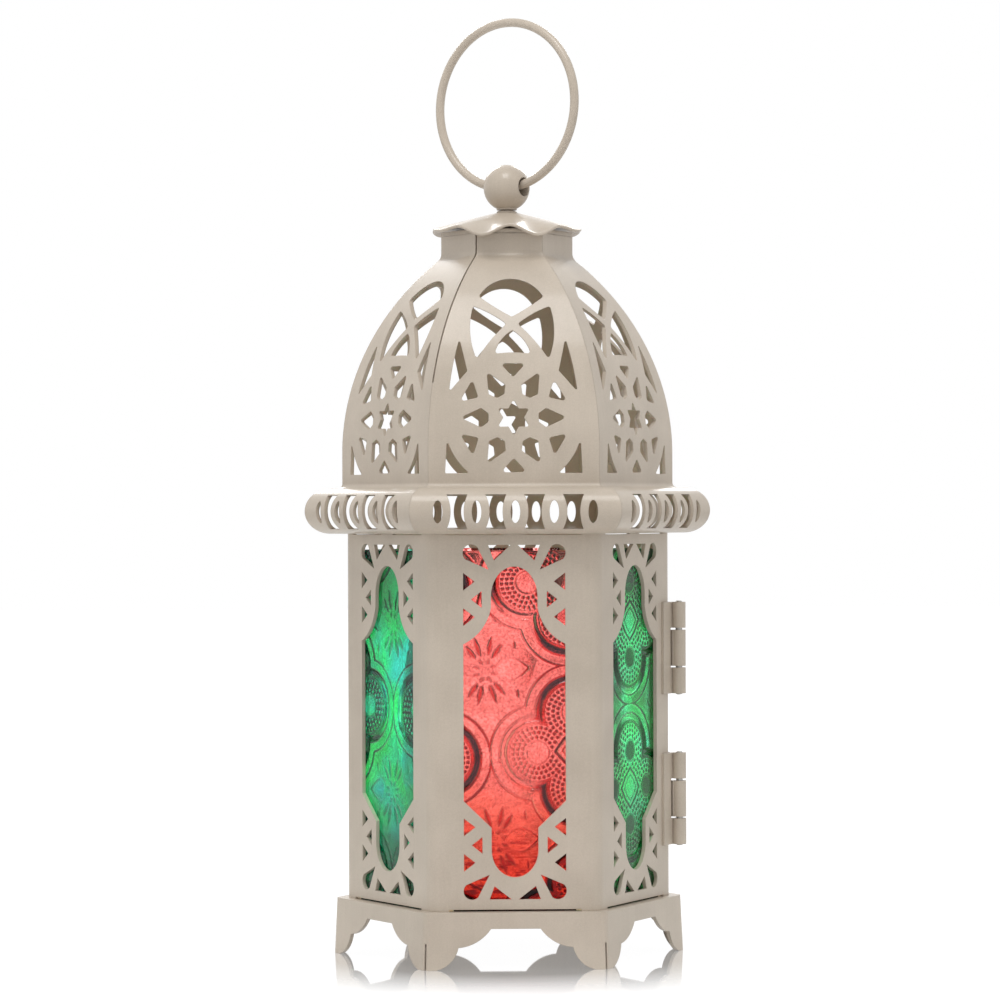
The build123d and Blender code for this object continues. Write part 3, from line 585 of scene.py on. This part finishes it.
@dataclass(frozen=True)
class QuatrefoilPattern:
    """Old pressed-glass pattern: four-lobed medallions on a square lattice and a flower in each square between.

    A medallion is the union of four discs. With d the distance to the nearest disc's centre it has a broad groove
    at d = ring, thin ones inside and outside it, and rows of beads round a smooth eye. A flower has short petals
    round a smooth disc, and long ones in groups of four above and below and a leaf at each side.

    Attributes:
        across_mm: Distance of one medallion's centre to the right of the pane's middle line.
        up_mm: Its height above the table.
        turn_deg: Turn of the lattice, counterclockwise.
        period_mm: Side of the lattice's square.
        lobe_mm: Distance from a medallion's centre to those of its lobes.
        ring_mm: Radius of the broad groove in a lobe.
        border_mm: Radius of the thin groove round a lobe.
        bead_mm: Distance from one bead of a row to the next.
        light_beads: Whether the ground between the beads is cut, and not the beads.
        eye_shade: Shade of the smooth eyes, which stay uncut.
        relief: Share of their depth to which everything but the broad grooves is cut.
        fine_shade: Factor on the shade of the thin grooves and the beads.
        ends_shade: Shade of the whole ground at the pane's head and foot.
        middle_mm: Height above the table from which shades towards the pane's ends are measured.
        side_mm: Distance from the upright middle line at which shade starts to rise, and the run of its rise.
        far_mm: The same above and below the middle.
        ends_mm: The same for ends_shade.
    """

    across_mm: float
    up_mm: float
    turn_deg: float = 3.5
    period_mm: float = 38.7
    lobe_mm: float = 8.6
    ring_mm: float = 7.8
    border_mm: float = 10.9
    bead_mm: float = 1.12
    light_beads: bool = False
    eye_shade: float = 0.0
    relief: float = 0.7
    fine_shade: float = 1.0
    ends_shade: float = 0.0
    middle_mm: float = 53.0
    side_mm: tuple[float, float] = (3.0, 5.0)
    far_mm: tuple[float, float] = (26.0, 10.0)
    ends_mm: tuple[float, float] = (16.0, 12.0)

    def depth(self, u: np.ndarray, z: np.ndarray) -> tuple[np.ndarray, np.ndarray]:
        """Cut depth in millimetres, and painted shade from 0 to 1, at each point of a pane.

        The depth is the greatest of the broad grooves and of relief times everything finer. Broad and thin cuts get
        more painted shade towards the frame, for the dark frame seen through them, by a smooth step of the distance
        beyond side_mm and far_mm. A flower gets painted shade of 1.7 times its depth in millimetres. The eyes and the
        pane's ends get painted shade without a cut.

        Args:
            u: Distances to the right of the pane's middle.
            z: Heights above the table.

        Returns:
            The depth, never negative, and the painted shade.
        """
        turn = math.radians(self.turn_deg)
        x = (u - self.across_mm) * math.cos(turn) + (z - self.up_mm) * math.sin(turn)
        y = -(u - self.across_mm) * math.sin(turn) + (z - self.up_mm) * math.cos(turn)
        half = self.period_mm / 2
        mx, my = (x + half) % self.period_mm - half, (y + half) % self.period_mm - half
        fx, fy = x % self.period_mm - half, y % self.period_mm - half
        broad, fine = self.medallion(mx, my)
        flower = self.flower(fx, fy)
        rise = np.abs(z - self.middle_mm)
        # Painted shade: broad and thin cuts darken more towards the frame, for the dark frame seen through them.
        side = np.maximum((np.abs(u) - self.side_mm[0]) / self.side_mm[1], (rise - self.far_mm[0]) / self.far_mm[1])
        side = smooth_step(side)
        shade = np.maximum(broad / 0.5 * (0.1 + 1.3 * side), self.fine_shade * fine / 0.4 * (0.5 + 0.6 * side))
        if self.eye_shade:
            shade = np.maximum(shade, self.eye_shade * np.clip((2.5 - self.lobe_distance(mx, my)) / 0.4, 0, 1))
        shade = np.maximum(shade, self.ends_shade * smooth_step((rise - self.ends_mm[0]) / self.ends_mm[1]))
        cut = np.maximum(broad, self.relief * np.maximum(fine, flower))
        return cut, np.clip(np.maximum(shade, 1.7 * flower), 0, 1)

    def lobe_distance(self, x: np.ndarray, y: np.ndarray) -> np.ndarray:
        """Distance to the nearest of a medallion's four lobe centres, in millimetres."""
        return np.hypot(np.maximum(np.abs(x), np.abs(y)) - self.lobe_mm, np.minimum(np.abs(x), np.abs(y)))

    def medallion(self, x: np.ndarray, y: np.ndarray) -> tuple[np.ndarray, np.ndarray]:
        """Cut depths of a medallion about its centre: the broad rings, and everything finer."""
        swap = np.abs(y) > np.abs(x)
        # Fold the four lobes onto one: p runs outwards through the lobe, q across it.
        p, q = np.where(swap, np.abs(y), np.abs(x)), np.where(swap, x, y)
        r = np.hypot(p - self.lobe_mm, q)
        angle = np.arctan2(q, p - self.lobe_mm)
        broad = groove(r - self.ring_mm, 1.5, 0.5)
        cut = groove(r - self.border_mm, 0.6, 0.3)
        cut = np.maximum(cut, groove(np.abs(r - self.ring_mm) - 0.9, 0.45, 0.25))
        cut = np.maximum(cut, groove(r - 6.5, 0.5, 0.22))
        beads = np.zeros_like(x)
        for ring in (5.7, 4.6, 3.5):
            count = round(2 * math.pi * ring / self.bead_mm)
            near = np.round(angle * count / (2 * math.pi)) * 2 * math.pi / count
            bead = np.hypot(r * np.cos(angle - near) - ring, r * np.sin(angle - near))
            beads = np.maximum(beads, groove(bead, 0.95, 0.34))
        if self.light_beads:
            beads = np.where((r > 2.9) & (r < 6.3), 0.34 - beads, 0)
        cut = np.maximum(np.maximum(cut, beads), groove(r - 2.6, 0.45, 0.18))
        # Star between the lobes: chevrons that point out through each of them.
        chevron = p + 0.8 * np.abs(q)
        inside = (chevron < 5.4) & (r > 2.9)
        star = np.maximum(groove(chevron - 4.6, 0.8, 0.4), groove(chevron - 3.0, 0.45, 0.25))
        return np.where(inside, 0, broad), np.where(inside, star, cut)

    def flower(self, x: np.ndarray, y: np.ndarray) -> np.ndarray:
        """Cut depth of a flower about its centre."""
        cut = np.zeros_like(x)
        for angle in range(0, 360, 45):
            cut = np.maximum(cut, teardrop(x, y, angle + 22.5, 1.4, 3.0, 1.0, 0.25))
        for side in (0, 180):
            for angle, far in ((55, 7.4), (75, 8.2), (105, 8.2), (125, 7.4)):
                cut = np.maximum(cut, teardrop(x, y, side + angle, 3.3, far, 1.3, 0.3))
            # Leaf: a lens with a cut outline that deepens towards its tip.
            sign = 1 if side == 0 else -1
            t = np.clip((sign * x - 2.4) / 7.6, 0, 1)
            rim = np.abs(y) - 2.7 * np.sin(math.pi * t**0.75)
            cut = np.maximum(cut, np.where((t > 0) & (t < 1), groove(rim, 0.6, 1.0) * (0.12 + 0.4 * t**3), 0))
            cut = np.maximum(cut, teardrop(x - sign * 7.0, y - 5.6, 90, -1.2, 1.2, 0.7, 0.3))
            cut = np.maximum(cut, teardrop(x - sign * 7.0, y + 5.6, 90, -1.2, 1.2, 0.7, 0.3))
        return cut


@dataclass
class PressedPane:
    """A glass pane with the mould's pattern in its outer face.

    The outer face is a height map, n(u, z) = outer - depth(u, z), on a square grid. Depth is never negative, so the
    pane stays inside the plain pane. The depth also fades to 0 over fade_mm at the rim, and the back is eased by
    ease_mm all round. The shade attribute of the face and its rim is painted shade: the pattern's, or that of the dark
    corner post behind the pane beyond post_mm, or that of the dark sill in front of its foot, whichever is darkest.
    """

    wall: str
    turn_deg: float
    bottom_mm: float
    finish: PressedGlass
    slot: Slot
    body: str
    pattern: QuatrefoilPattern
    post_mm: float = 20.0
    half_mm: float = 13.9
    top_mm: float = 94.8
    outer_mm: float = 38.3 * math.cos(math.radians(30)) - 0.9
    thick_mm: float = 2.4
    pitch_mm: float = 0.2
    fade_mm: float = 0.6
    ease_mm: float = 0.5
    post_shade: float = 0.75
    post_run_mm: float = 2.0
    sill_shade: float = 1.2
    sill_mm: float = 1.5

    def build(self) -> bpy.types.Object:
        """Make the closed pane and dress it.

        Returns:
            The pane's object, in place of the CAD pane.
        """
        columns = round(2 * self.half_mm / self.pitch_mm) + 1
        rows = round((self.top_mm - self.bottom_mm) / self.pitch_mm) + 1
        across, up = np.linspace(-self.half_mm, self.half_mm, columns), np.linspace(self.bottom_mm, self.top_mm, rows)
        u, z = np.meshgrid(across, up)
        edge = np.minimum(self.half_mm - np.abs(u), np.minimum(z - self.bottom_mm, self.top_mm - z))
        cut, shade = self.pattern.depth(u, z)
        cut *= np.clip(edge / self.fade_mm, 0, 1)
        # Painted shade: beyond post_mm the eye meets the dark corner post behind the pane, so the glass is coloured
        # dark there.
        shade = np.maximum(shade, self.post_shade * np.clip((u - self.post_mm) / self.post_run_mm, 0, 1))
        # Painted shade: the foot of the pane is coloured dark for the dark of the sill, so the light through it is dark
        # too.
        shade = np.maximum(shade, np.clip(self.sill_shade - (z - self.bottom_mm) / self.sill_mm, 0, 1))
        angle = math.radians(self.turn_deg - 90)
        out = np.array([math.cos(angle), math.sin(angle), 0])
        right = np.array([-math.sin(angle), math.cos(angle), 0])
        above = np.array([0, 0, 1])
        front = (u[..., None] * right + (self.outer_mm - cut)[..., None] * out + z[..., None] * above) * MM
        points = [front.reshape(-1, 3)]
        quads = [grid_quads(rows, columns)]
        # Rim of the grid, once round, counterclockwise from outside; the back is the same rim, eased and set back.
        ids = np.arange(rows * columns).reshape(rows, columns)
        rim = np.concatenate([ids[0, :-1], ids[:-1, -1], ids[-1, :0:-1], ids[:0:-1, 0]])
        ease = self.ease_mm
        su = np.clip(u.ravel()[rim], -self.half_mm + ease, self.half_mm - ease)
        sz = np.clip(z.ravel()[rim], self.bottom_mm + ease, self.top_mm - ease)
        inner = self.outer_mm - self.thick_mm
        walls = front.reshape(-1, 3)[rim] - (self.thick_mm - ease) * MM * out
        back = (su[:, None] * right + inner * out + sz[:, None] * above) * MM
        middle = (inner * out + 0.5 * (self.bottom_mm + self.top_mm) * above) * MM
        n = len(rim)
        base = rows * columns
        step = (np.arange(n) + 1) % n
        points += [walls, back, middle[None]]
        first, second, hub = base + np.arange(n), base + n + np.arange(n), base + 2 * n
        quads.append(np.stack([rim[step], rim, first, first[step]], 1))
        quads.append(np.stack([first[step], first, second, second[step]], 1))
        fan = np.stack([second[step], second, np.full(n, hub)], 1)
        pane = mesh_object(f"pane_{self.wall}", np.concatenate(points), np.concatenate(quads), fan)
        mesh = pane.data
        values = np.zeros(len(mesh.vertices), np.float32)
        values[: rows * columns] = shade.ravel()
        # The rim takes the face's painted shade, so the light through the pane's edges is tinted by it too.
        values[base : base + n] = shade.ravel()[rim]
        mesh.attributes.new("shade", "FLOAT", "POINT").data.foreach_set("value", values)
        mesh.materials.append(bpy.data.materials.get(self.finish.name) or self.finish.build())
        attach(pane, self.body)
        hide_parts(f"glass_{self.wall}")
        return pane


# ---- Petal cap ---------------------------------------------------------------------------------------------
@dataclass
class PetalCap:
    """Shallow spun cone of tin plate whose rim is pressed into eight drooping petals."""

    hub_mm: float = 2.0
    reach_mm: float = 7.0
    petal_mm: float = 11.0
    top_mm: float = 174.3
    slope_deg: float = 14.4
    droop_mm: float = 1.3
    sway_mm: float = 1.25
    sheet_mm: float = 0.8
    columns: int = 384
    rows: int = 40

    def build(self, material: bpy.types.Material) -> bpy.types.Object:
        """Make the cap as one closed sheet with a round rim.

        With phi the angle from the nearest petal's middle, the outline is R = 7 cos(phi) + sqrt(11^2 - (7 sin phi)^2).
        The upper face is a cone less droop * ((r - 7) / (R - 7))^2 * (1 + cos 8 phi) / 2 beyond r = 7, where the droop
        is 1.3 - 1.25 cos(2 direction) mm, so that the petals at the front and back hang lower than those at the sides.

        Args:
            material: Finish of the sheet.

        Returns:
            The cap's object, in place of the CAD cap.
        """
        theta = -np.linspace(0, 2 * math.pi, self.columns, endpoint=False)[None, :]
        phi = (theta + math.pi / 8) % (math.pi / 4) - math.pi / 8
        # Petals point 22.5 degrees to each side of the front, so the front is a valley between two.
        outline = self.reach_mm * np.cos(phi) + np.sqrt(self.petal_mm**2 - (self.reach_mm * np.sin(phi)) ** 2)
        half = self.sheet_mm / 2
        run = np.linspace(0, 1, self.rows)
        turn = np.linspace(90, -90, 9)[1:-1]
        along = np.concatenate([run, np.ones(len(turn)), run[::-1]])[:, None]
        beyond = np.concatenate([0 * run, np.cos(np.radians(turn)), 0 * run])[:, None] * half
        lift = np.concatenate([0 * run + 1, np.sin(np.radians(turn)), 0 * run - 1])[:, None] * half
        r = self.hub_mm + (outline - half - self.hub_mm) * along
        t = np.clip((r - self.reach_mm) / (outline - self.reach_mm), 0, 1)
        z = self.top_mm - half - (r - self.hub_mm) * math.tan(math.radians(self.slope_deg))
        angle = theta + math.radians(22.5 - 90)
        droop = self.droop_mm - self.sway_mm * np.cos(2 * angle)
        z = z - droop * t**2 * 0.5 * (1 + np.cos(8 * phi)) + lift
        points = np.stack([(r + beyond) * np.cos(angle), (r + beyond) * np.sin(angle), z], -1) * MM
        cap = mesh_object("petal_cap_sheet", points.reshape(-1, 3), grid_quads(len(along), self.columns, closed=True))
        cap.data.materials.append(material)
        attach(cap, "lantern")
        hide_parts("petal_cap")
        return cap


@dataclass
class NeckRim:
    """Top edge of the six neck panels, which runs up into the shade of the cap."""

    corner_mm: float = 15.5
    bottom_mm: float = 168.4
    top_mm: float = 169.5
    sheet_mm: float = 0.9

    def build(self, material: bpy.types.Material) -> bpy.types.Object:
        """Make a closed six-sided wall: outer and inner corners, at the bottom and the top.

        Args:
            material: Finish of the sheet.

        Returns:
            The wall's object.
        """
        corner = np.radians(60 * np.arange(6))
        inner = self.corner_mm - self.sheet_mm / math.cos(math.radians(30))
        outside, inside = (self.corner_mm, self.bottom_mm), (inner, self.top_mm)
        loops = (outside, (self.corner_mm, self.top_mm), inside, (inner, self.bottom_mm))
        rows = [np.stack([r * np.cos(corner), r * np.sin(corner), np.full(6, z)], -1) for r, z in loops]
        rim = mesh_object("neck_rim", np.concatenate(rows) * MM, grid_quads(4, 6, closed=True), smooth=False)
        rim.data.materials.append(material)
        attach(rim, "lantern")
        return rim


# ---- The lantern -------------------------------------------------------------------------------------------
# Each glass: ground tint, full colour, dark colour of the painted shade, and deeper foot colour, painted shade of the
# dark tray seen through the glass.
ROSE = PressedGlass("rose_pressed_glass", "FFB8B3", "A81410", "140810", "FF7048", haze=0.65)
AQUA = PressedGlass("aqua_pressed_glass", "52FAA2", "088068", "041C20", "30D0B0", cord="60E6EE", haze=0.15, shine=0.2)
LEAF = PressedGlass("leaf_pressed_glass", "74FFA8", "0A6230", "041C0E", "48E0A4", cord="94FFE4", haze=0.15, shine=0.2)


def dress_nodes() -> bpy.types.Material:
    """Give every CAD node that stays its finish, chosen by the node's name.

    Returns:
        The paint, for pieces that share it.
    """
    paint = PaintedTinplate().build()
    steel = BareSteel().build()
    # A dark steel for the stud and its nut: painted shade of the dark gap under the ball.
    stud_painted_shade = BareSteel("painted_shade_stud_steel", "6A5A4C", 0.5).build()
    bare = ("glass_clips", "door_glass_clips", "candle_cup", "hinge_pin")
    for name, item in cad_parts.items():
        if name.startswith("glass_") and name != "glass_clips":
            continue
        # The stud and its nut get the painted shade of the gap under the ball.
        if name in ("finial_stud", "stud_nut"):
            material = stud_painted_shade
        else:
            material = steel if name.startswith(bare) else paint
        item.data.materials.clear()
        item.data.materials.append(material)
        LOG.info("node %s: %s", name, material.name)
    return paint


def pressed_panes() -> tuple[PressedPane, ...]:
    """List the six panes, each with its own colour and its own place on the pattern.

    Returns:
        The panes, counterclockwise from the front.
    """
    front = QuatrefoilPattern(13.8, 49.4)
    eyed = QuatrefoilPattern(
        -1.0, 39.7, 0, bead_mm=1.35, eye_shade=0.9, relief=0.25, fine_shade=2.2, ends_shade=0.3
    )
    door = QuatrefoilPattern(10.0, 60.0, 1, eye_shade=0.85, relief=0.4)
    back = QuatrefoilPattern(0.0, 52.0, -2)
    light = QuatrefoilPattern(19.0, 44.0, 0, light_beads=True)
    beaded = QuatrefoilPattern(
        -18.2, 58.7, -1, bead_mm=1.35, light_beads=True, relief=0.3, fine_shade=1.6, ends_shade=0.48
    )
    return (
        PressedPane("front", 0, 13.0, ROSE, Slot.ROSE, "lantern", front),
        PressedPane("front_right", 60, 13.0, LEAF, Slot.LEAF, "lantern", eyed, post_mm=8.0),
        PressedPane("door", 120, 15.5, LEAF, Slot.LEAF, "door", door),
        PressedPane("back", 180, 13.0, ROSE, Slot.ROSE, "lantern", back),
        PressedPane("back_left", 240, 13.0, AQUA, Slot.AQUA, "lantern", light),
        PressedPane("front_left", 300, 13.0, AQUA, Slot.AQUA, "lantern", beaded),
    )


def main() -> None:
    """Build everything in order and note the sizes."""
    logging.basicConfig(level=logging.INFO, format="%(name)s: %(message)s")
    Studio().build()
    paint = dress_nodes()
    for top in (PetalCap(), NeckRim()):
        made = top.build(paint)
        LOG.info("%s: %d faces", made.name, len(made.data.polygons))
    for pane in pressed_panes():
        made = pane.build()
        LOG.info("%s: %d faces", made.name, len(made.data.polygons))
    scene = bpy.context.scene
    scene.view_settings.view_transform = "Standard"


if __name__ == "__main__":
    main()
